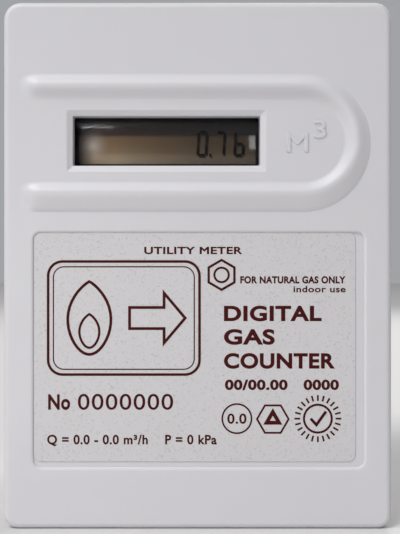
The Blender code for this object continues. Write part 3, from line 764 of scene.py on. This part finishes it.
# --- Display --------------------------------------------------------------------------------------
def display():
    low, high = mm_box("display_window")
    pane = block("display_pane", (low.x, high.x, low.z, high.z), low.y, high.y, 0.6, 0.15)
    place(pane, "meter", "clear_window", clear_pane(), "display_window")

    black = surface("black_moulding", (0.012, 0.012, 0.013), 0.5, variation=0.15, grain=0.2, depth=0.008)
    low, high = mm_box("lcd_bezel")
    bezel = block("display_bezel", (low.x, high.x, low.z, high.z), low.y, high.y, 1.5, 0.2)
    glass_low, glass_high = mm_box("lcd_glass")
    view = (glass_low.x + 1.3, glass_high.x - 1.3, glass_low.z + 1.65, glass_high.z - 1.65)
    seat = (glass_low.x - 0.4, glass_high.x + 0.4, glass_low.z - 0.35, glass_high.z + 0.35)
    carve(bezel, [
        ("DIFFERENCE", pocket("view", view, low.y, high.y, 0.3, (0.25, 0.3))),
        ("DIFFERENCE", prism("seat", rounded_rect(seat, 0.3, steps=3), glass_low.y - GAP, high.y + OVER)),
    ])
    place(bezel, "meter", "black_plastic", black, "lcd_bezel")

    finish = surface("display_glass", (0.004, 0.004, 0.004), 0.12, variation=0.2, grain=1, depth=0.0005)
    sides = (glass_low.x, glass_high.x, glass_low.z, glass_high.z)
    glass = block("display_glass", sides, glass_low.y + 0.15, glass_high.y, 0.2, 0.06)
    place(glass, "meter", "lcd", finish, "lcd_glass")

    film_y = glass_low.y + 0.02
    # the film's colour holds painted shade, a painted reflection and a painted pool of light
    film = block("display_film_painted_light", FILM, film_y, film_y + 0.12, 0.1, 0.03)
    place(film, "meter", "lcd", display_film_painted_light())
    place(reading("display_digits", film_y - 0.012, 0, 0), "meter", "lcd", digit_ink())
    place(reading("display_digit_shadow", film_y - 0.006, 0.2, -0.4), "meter", "lcd", digit_shade())


def reading(name, y, shift_x, shift_z):
    """The reading, in seven-segment digits that lean slightly to the right, moved by a shift."""
    height, width, half = DIGIT_HEIGHT, DIGIT_WIDTH, DIGIT_HEIGHT / 2
    segments = {
        "a": ((0, height), (width, height)), "b": ((width, height), (width, half)),
        "c": ((width, half), (width, 0)), "d": ((0, 0), (width, 0)), "e": ((0, half), (0, 0)),
        "f": ((0, height), (0, half)), "g": ((0, half), (width, half)),
    }
    trim = 0.16  # taken off both ends of a segment
    base_z = DIGIT_BASE_Z + shift_z
    marks = []
    for lit, left in READING:
        start_x = left + shift_x
        for key in lit:
            start, end = (Vector(point) for point in segments[key])
            step = (end - start).normalized() * trim
            points = [(start_x + x + DIGIT_LEAN * z, base_z + z) for x, z in (start + step, end - step)]
            marks.append(stroke(f"segment_{len(marks)}", points, DIGIT_STROKE, y))
    point_x = POINT_X + shift_x
    marks.append(stroke("point", [(point_x, base_z - 0.25), (point_x + 0.04, base_z + 0.3)], 0.5, y))
    return joined(name, marks)


# --- Rear housing and what is on it ---------------------------------------------------------------
def rear_shell(white):
    low, high = mm_box("rear_housing")
    front_y = mm_box("front_cover")[1].y + GAP
    back_y = high.y
    seam = [at_depth(case_outline(SEAM_CHAMFER), front_y), at_depth(case_outline(), front_y + SEAM_CHAMFER)]
    shell = loft("rear_shell", seam + edge_rings(back_y, -1)[::-1])
    root_y = back_y - BACK_WALL + ROOT
    steps = [
        ("DIFFERENCE", prism("inside", case_outline(HOUSING_WALL), front_y - OVER, back_y - BACK_WALL)),
        ("UNION", seam_ring("tongue", TONGUE_OUT, TONGUE_IN + 0.2, low.y, front_y + 2)),
    ]
    body_back = mm_box("gas_body")[1].y + GAP
    steps += [("UNION", post("case_post", x, z, CASE_POST, front_y - 0.2, root_y)) for x, z in CASE_SCREWS]
    steps += [("UNION", post("body_post", x, z, BODY_POST, body_back, root_y)) for x, z in BODY_SCREWS]
    steps += battery_bay(back_y, root_y)
    port = mm_box("inlet_fitting")
    port_y, port_z = (port[0].y + port[1].y) / 2, (port[0].z + port[1].z) / 2
    steps.append(("DIFFERENCE", flow_arrow(port_z, back_y)))
    for x, z in BODY_SCREWS:
        steps.append(("DIFFERENCE", post("body_pilot", x, z, CASE_HOLE, body_back - OVER, back_y - 1)))
    for x, z in CASE_SCREWS:
        steps.append(("DIFFERENCE", post("case_hole", x, z, CASE_HOLE, front_y - 4, CASE_HEAD_Y + 2)))
        steps.append(("DIFFERENCE", head_bore(x, z, back_y)))
    inside_x, outside_x = 35, 43  # of the side walls
    lead_x, lead_z, lead_radius = LEAD_HOLE
    for side in (-1, 1):
        profile = [(PORT_HOLE, inside_x), (PORT_HOLE, outside_x)]
        steps.append(("DIFFERENCE", turned("port_hole", profile, (0, port_y, port_z), (side, 0, 0))))
        steps.append(("DIFFERENCE", post("lead_hole", side * lead_x, lead_z, lead_radius, 8, 14)))
    carve(shell, steps)
    place(shell, "meter", "case_white", white, "rear_housing")


def battery_bay(back_y, root_y):
    """Steps that build the battery bay's walls, hollow it out and sink the lid's rebate."""
    lid_rebate = grown(BAY, 2.0)
    tab_rebate = (-5.5, 5.5, 29.0, LID_SCREW_Z + 4)
    rebate_y = back_y - LID_THICKNESS - GAP
    roll = (0.2, 0.2)
    walls = rounded_rect(grown(BAY, BAY_WALL), 1.0, steps=3)
    hollow = rounded_rect(BAY, 0.6, steps=3)
    return [
        ("UNION", post("lid_boss", 0, LID_SCREW_Z, LID_BOSS, 22, root_y)),
        ("UNION", prism("bay_walls", walls, BAY_FRONT - BAY_WALL, root_y)),
        ("DIFFERENCE", prism("bay", hollow, BAY_FRONT, back_y + OVER)),
        ("DIFFERENCE", pocket("lid_rebate", lid_rebate, back_y, rebate_y, 1.5, roll, inward=-1)),
        ("DIFFERENCE", pocket("tab_rebate", tab_rebate, back_y, rebate_y, 1.5, roll, inward=-1)),
        ("DIFFERENCE", post("lid_pilot", 0, LID_SCREW_Z, CASE_HOLE, 23.5, back_y)),
    ]


def head_bore(x, z, back_y):
    """Cutter of the bore for a case screw's head, chamfered at the back."""
    chamfer = 0.5
    profile = [(CASE_HEAD, CASE_HEAD_Y)]
    for share in (0.0, 0.5, 1.0):
        out = chamfer * share
        profile.append((CASE_HEAD + out, back_y - chamfer + out))
    profile.append((CASE_HEAD + chamfer, back_y + OVER))
    return turned("case_head", profile, (x, 0, z), (0, 1, 0), 32)


def flow_arrow(port_z, back_y):
    """Cutter of the flow arrow sunk in the back."""
    tip, shaft, half_head, half_shaft = 12.0, 4.0, 4.5, 1.6
    outline = [
        (tip, 0), (shaft, half_head), (shaft, half_shaft), (-tip, half_shaft),
        (-tip, -half_shaft), (shaft, -half_shaft), (shaft, -half_head),
    ]
    return prism("arrow", [(x, z + port_z) for x, z in outline], back_y - 0.5, back_y + OVER)


def battery_lid(white):
    low, high = mm_box("battery_cover")
    back_y, lid_y = high.y, high.y - LID_THICKNESS
    plate_sides = (low.x, high.x, low.z, 30.7)
    tab_sides = (-5.2, 5.2, 27.0, high.z)
    corner, edge = 1.2, 0.2
    skirt_wall = 1.2
    head_radius, hole_radius = 2.6, 1.6
    lid = block("battery_lid", plate_sides, lid_y, back_y, corner, edge)
    skirt = rounded_rect(grown(BAY, -GAP), 0.4, steps=3)
    skirt_inner = rounded_rect(grown(BAY, -GAP - skirt_wall), 0.4, steps=3)
    steps = [
        ("UNION", block("tab", tab_sides, lid_y, back_y, corner, edge)),
        ("UNION", prism("skirt", skirt, low.y, lid_y + 0.5)),
        ("DIFFERENCE", prism("skirt_inside", skirt_inner, low.y - OVER, lid_y + 0.1)),
        ("DIFFERENCE", post("screw_head", 0, LID_SCREW_Z, head_radius, back_y - 1, back_y + OVER, 32)),
        ("DIFFERENCE", post("screw_hole", 0, LID_SCREW_Z, hole_radius, lid_y - OVER, back_y)),
    ]
    for z in LID_GRIPS:
        grip = rounded_rect((-9, 9, z, z + 1.2), 0.59, steps=5)
        steps.append(("DIFFERENCE", prism("grip", grip, back_y - 0.6, back_y + OVER)))
    carve(lid, steps)
    place(lid, "battery_lid", "case_white", white, "battery_cover")


def cross_screw(name, node, body, finish):
    """A pan-head screw with a cross recess whose head faces backwards."""
    low, high = mm_box(node)
    x, z = (low.x + high.x) / 2, (low.z + high.z) / 2
    head = (high.x - low.x) / 2
    head_height = 0.65 if head < 2.5 else 2.2  # the lid's screw has a thin head
    length = high.y - low.y
    shank = head * 0.52
    profile = []
    for step in range(5):
        angle = math.pi / 2 * step / 4
        crown = head_height * 0.45 * math.cos(angle) ** 2
        profile.append((head * (0.55 + 0.45 * math.sin(angle)), crown))
    profile += [(head, head_height), (shank, head_height)]
    pitch, groove = 0.8, 0.22
    turn = head_height + 0.6
    while turn < length - 1.5:
        profile += [(shank, turn), (shank - groove, turn + pitch * 0.35), (shank, turn + pitch * 0.7)]
        turn += pitch
    profile += [(shank, length - 1.2), (shank * 0.3, length)]
    piece = turned(name, profile, (x, high.y, z), (0, -1, 0), 32)
    depth = min(1.2, head_height * 0.8)
    reach = head * 0.55
    half_slot = 0.3
    taper = 0.6
    steps = []
    for half_x, half_z in ((reach, half_slot), (half_slot, reach)):
        corners = ((-half_x, -half_z), (half_x, -half_z), (half_x, half_z), (-half_x, half_z))
        mouth = [(x + across, z + up) for across, up in corners]
        floor = [(x + across * taper, z + up * taper) for across, up in corners]
        rings = [at_depth(mouth, high.y + 0.2), at_depth(mouth, high.y), at_depth(floor, high.y - depth)]
        steps.append(("DIFFERENCE", loft("cross", rings)))
    carve(piece, steps)
    place(piece, body, "steel", finish, node)


def seal():
    """A wax seal pressed into the well of one case screw, with a plain ring stamped in it."""
    low, high = mm_box("tamper_seal")
    x, z = (low.x + high.x) / 2, (low.z + high.z) / 2
    radius = (high.x - low.x) / 2

    def wavy(base, size):
        return lambda angle: base + size * (math.sin(3 * angle + 1) + 0.6 * math.sin(7 * angle))

    profile = [
        (radius * 0.35, 0.35), (radius * 0.42, 0.3), (radius * 0.5, 0.05), (radius * 0.62, 0.0),
        (wavy(radius * 0.82, 0.06), 0.1), (wavy(radius * 0.93, 0.05), 0.45),
        (radius * 0.98, 0.9), (radius * 0.98, 2.6),
    ]
    wax = turned("wax_seal", profile, (x, high.y, z), (0, -1, 0), sharp=60)
    finish = surface("seal_wax", (0.36, 0.012, 0.015), 0.38, variation=0.2, patch=1.5, grain=0.4, depth=0.03)
    place(wax, "meter", "seal_red", finish, "tamper_seal")


# --- Ports ----------------------------------------------------------------------------------------
def fitting(side_name, side, metal):
    """A port's hexagonal fitting with its inner thread."""
    low, high = mm_box(f"{side_name}_fitting")
    centre = (0, (low.y + high.y) / 2, (low.z + high.z) / 2)
    inner, end = sorted((abs(low.x), abs(high.x)))
    flange = mm_box("rear_housing")[1].x + GAP + 0.1
    across_flats = high.y - low.y

    def hexagon(limit):
        """The hexagon's radius at an angle, turned down to a limit as a nut's chamfer is."""
        def radius(angle):
            from_flat = (angle % (math.pi / 3)) - math.pi / 6
            return min(across_flats / 2 / math.cos(from_flat), limit)
        return radius

    pitch, bore, thread_depth = 1.814, 9.32, 1.16
    corner = across_flats / math.sqrt(3)
    outer = [(10.6, inner), (11.1, inner + 0.5), (11.1, 38.6), (12.5, 38.6), (12.5, flange)]
    outer += [(hexagon(corner - 0.5), flange), (hexagon(corner + 1), flange + 0.35)]
    outer += [(hexagon(corner + 1), end - 1.1), (hexagon(corner - 0.35), end - 0.7)]
    outer += [(hexagon(corner - 0.9), end - 0.35), (hexagon(corner - 1.9), end)]
    mouth = [(11.25, end), (11.0, end - 0.25), (11.0, end - 1.6), (10.6, end - 1.6)]
    thread = []
    distance = end - 1.9
    while distance > inner + 0.4:
        def groove(angle, at=distance):
            phase = (at / pitch + angle / (2 * math.pi)) % 1.0
            return bore + thread_depth * min(1.0, max(0.0, 1.6 * abs(2 * phase - 1) - 0.3))
        thread.append((groove, distance))
        distance -= pitch / 10
    profile = outer + mouth + thread + [(bore + 0.4, inner)]
    made = turned(f"{side_name}_port", profile, centre, (side, 0, 0), sides=72, endless=True, sharp=28)
    even_shading(made)
    place(made, "meter", "port_metal", metal, f"{side_name}_fitting")


def port_cap(side_name, side, plastic):
    """The plug in a port, with a web across it to pull it out by."""
    low, high = mm_box(f"{side_name}_fitting")
    centre = (0, (low.y + high.y) / 2, (low.z + high.z) / 2)
    end = max(abs(low.x), abs(high.x))
    web = end - 4
    profile = [
        (4.0, web + 0.6), (7.0, web + 0.6), (7.4, web + 1.0), (7.4, end - 0.6), (7.6, end - 0.35),
        (7.8, end - 0.3), (10.3, end - 0.3), (10.52, end - 0.4), (10.6, end - 0.6), (10.6, end - 1.1),
        (10.4, end - 1.3), (8.9, end - 1.3), (8.9, 34.2), (8.6, 31.3), (8.4, 31), (7.4, 31), (7.2, 31.2),
        (7.2, web - 0.6),
    ]
    plug = turned(f"{side_name}_cap", profile, centre, (side, 0, 0))
    near, far = sorted((side * web, side * (end - 0.45)))
    half_height, half_grip = 7.6, 0.9
    sides = (near, far, centre[2] - half_height, centre[2] + half_height)
    grip = block("grip", sides, centre[1] - half_grip, centre[1] + half_grip, 0.3, 0.25)
    carve(plug, [("UNION", grip)])
    place(plug, f"{side_name}_cap", "cap_yellow", plastic, f"{side_name}_plug")


# --- Battery and other inner pieces ---------------------------------------------------------------
def cell():
    low, high = mm_box("battery")
    radius = (high.z - low.z) / 2
    centre = (0, (low.y + high.y) / 2, (low.z + high.z) / 2)
    half = (high.x - low.x) / 2
    wrap_end = half - 1.4
    profile = [
        (5.2, -half + 0.25), (5.6, -half), (radius - 0.9, -half), (radius - 0.25, -half + 0.2),
        (radius, -half + 0.7), (radius, wrap_end - 0.7), (radius - 0.2, wrap_end - 0.2),
        (radius - 0.8, wrap_end), (4.2, wrap_end), (4.0, wrap_end - 0.3), (3.2, wrap_end - 0.3),
        (2.8, wrap_end), (2.8, half - 0.3), (2.5, half),
    ]
    battery = turned("cell", profile, centre, (1, 0, 0))
    even_shading(battery)
    wrap = surface("cell_wrap", (0.03, 0.11, 0.3), 0.3, variation=0.1, patch=4, grain=0.6, depth=0.004,
                   coat=0.3)
    place(battery, "meter", "battery_wrap", wrap, "battery")
    steel = surface("cell_end", (0.62, 0.61, 0.58), 0.28, 1.0, variation=0.08, patch=2, grain=0.1,
                    depth=0.002)
    battery.data.materials.append(steel)
    bare_radius = 5.0  # of the ends that the wrap leaves open
    for face in battery.data.polygons:
        middle = face.center / MM
        if math.hypot(middle.y - centre[1], middle.z - centre[2]) < bare_radius:
            face.material_index = 1


def carried_over():
    """Finishes for the CAD nodes that are shown as they are."""
    finishes = {
        "rubber": surface("elastomer", (0.03, 0.03, 0.032), 0.75, variation=0.15, grain=0.15, depth=0.01),
        "circuit_board": surface("solder_mask", (0.01, 0.12, 0.045), 0.35, variation=0.12, patch=2,
                                 grain=0.3, depth=0.01, specks=0.5),
        "black_plastic": surface("package_black", (0.015, 0.015, 0.016), 0.55, variation=0.15,
                                 grain=0.1, depth=0.006),
        "steel": surface("zinc_plate", (0.62, 0.63, 0.65), 0.32, 1.0, variation=0.08, patch=3,
                         grain=0.1, depth=0.004),
        "capacitor_sleeve": surface("sleeve", (0.015, 0.02, 0.09), 0.3, variation=0.1, patch=3, coat=0.3),
        "connector_ivory": surface("nylon", (0.66, 0.6, 0.46), 0.5, variation=0.05, patch=4),
        "nickel": surface("nickel_plate", (0.66, 0.64, 0.6), 0.25, 1.0, variation=0.06, patch=2,
                          grain=0.08, depth=0.002),
        "lead_red": surface("insulation_red", (0.45, 0.015, 0.015), 0.45, variation=0.08, patch=3),
        "lead_black": surface("insulation_black", (0.012, 0.012, 0.012), 0.45, variation=0.15, patch=3),
        "lead_grey": surface("insulation_grey", (0.25, 0.25, 0.26), 0.45, variation=0.08, patch=3),
        "cast_aluminium": surface("die_casting", (0.6, 0.61, 0.62), 0.5, 1.0, variation=0.1, patch=5,
                                  grain=0.5, depth=0.03),
        "oscillator_resin": surface("resin", (0.1, 0.11, 0.12), 0.42, variation=0.1, patch=5,
                                    grain=0.2, depth=0.008),
        "piezo_brass": surface("piezo", (0.7, 0.5, 0.2), 0.3, 1.0, variation=0.08, patch=2,
                               grain=0.1, depth=0.003),
    }
    slots = {part["node"]: part["material_slot"] for part in frame["record"]["subparts"]}
    for name, node in frame["nodes"].items():
        if slots[name] in finishes and not node.hide_render:
            node.data.materials.clear()
            node.data.materials.append(finishes[slots[name]])
    return finishes


# --- Stage ----------------------------------------------------------------------------------------
def lamp(name, location, target, width, height, power):
    """A flat lamp, in metres and watts, that points at a target."""
    data = bpy.data.lights.new(name, "AREA")
    data.shape = "RECTANGLE"
    data.size = width
    data.size_y = height
    data.energy = power
    made = bpy.data.objects.new(name, data)
    made.location = location
    made.rotation_euler = (Vector(target) - Vector(location)).to_track_quat("-Z", "Y").to_euler()
    bpy.context.collection.objects.link(made)


def glint_lamp(name, x, z, width, height, power):
    """A small lamp behind the camera that shows as a thin glint in the display."""
    lamp(name, (x, -0.5, z), (x, 0, z), width, height, power)


def stage():
    mesh = bmesh.new()
    bmesh.ops.create_grid(mesh, x_segments=1, y_segments=1, size=3000)
    floor = new_piece("floor", mesh)
    floor.data.materials.append(surface("floor_paint", (0.64, 0.63, 0.62), 0.6, variation=0.01, patch=60))

    world = bpy.data.worlds.new("studio")
    world.use_nodes = True
    background = world.node_tree.nodes["Background"]
    background.inputs["Color"].default_value = (0.86, 0.87, 0.9, 1)
    background.inputs["Strength"].default_value = 0.42
    bpy.context.scene.world = world
    lamp("key", (-1.2, -1.28, 2.4), (0, 0, 0.05), 1.28, 1.28, 62.0)
    lamp("low_fill", (-0.08, -0.25, 0.01), (-0.01, -0.03, 0.03), 0.1, 0.1, 0.18)
    lamp("back", (0.25, 0.7, 0.6), (0, 0, 0.06), 0.6, 0.6, 3.0)
    glint_lamp("glint_top", -0.074, 0.1556, 0.0276, 0.0009, 0.0055)
    glint_lamp("glint_right", 0.0378, 0.1431, 0.0045, 0.0095, 0.0006)


def camera():
    """Looks straight at the front from about twice the meter's height away."""
    distance = 200.0
    middle_x, middle_z = 0.5, 54.65
    view_height = 111.3  # how much of the front's plane the frame shows
    sensor = 36.0
    data = bpy.data.cameras.new("camera")
    data.sensor_fit = "VERTICAL"
    data.sensor_height = sensor
    data.lens = sensor * distance / view_height
    data.clip_start = 0.01
    eye = bpy.data.objects.new("camera", data)
    eye.location = Vector((middle_x, face_y() - distance, middle_z)) * MM
    eye.rotation_euler = (math.radians(90), 0, 0)
    bpy.context.collection.objects.link(eye)
    bpy.context.scene.camera = eye
    bpy.context.scene.view_settings.view_transform = "Standard"


def main():
    white = case_plastic()
    front_shell(white)
    unit_mark(white)
    label()
    display()
    rear_shell(white)
    battery_lid(white)
    cell()
    finishes = carried_over()
    for i in range(1, 5):
        cross_screw(f"case_screw_{i}", f"cover_screw_{i}", "meter", finishes["steel"])
    cross_screw("lid_screw", "battery_cover_screw", "battery_lid", finishes["steel"])
    seal()
    metal = surface("port_nickel", (0.66, 0.63, 0.57), 0.3, 1.0, variation=0.05, patch=5, grain=0.4,
                    depth=0.001)
    yellow = surface("cap_polyethylene", (0.72, 0.45, 0.02), 0.42, variation=0.05, patch=5, grain=0.3,
                     depth=0.01)
    for side_name, side in (("inlet", -1), ("outlet", 1)):
        fitting(side_name, side, metal)
        port_cap(side_name, side, yellow)
    stage()
    camera()


main()
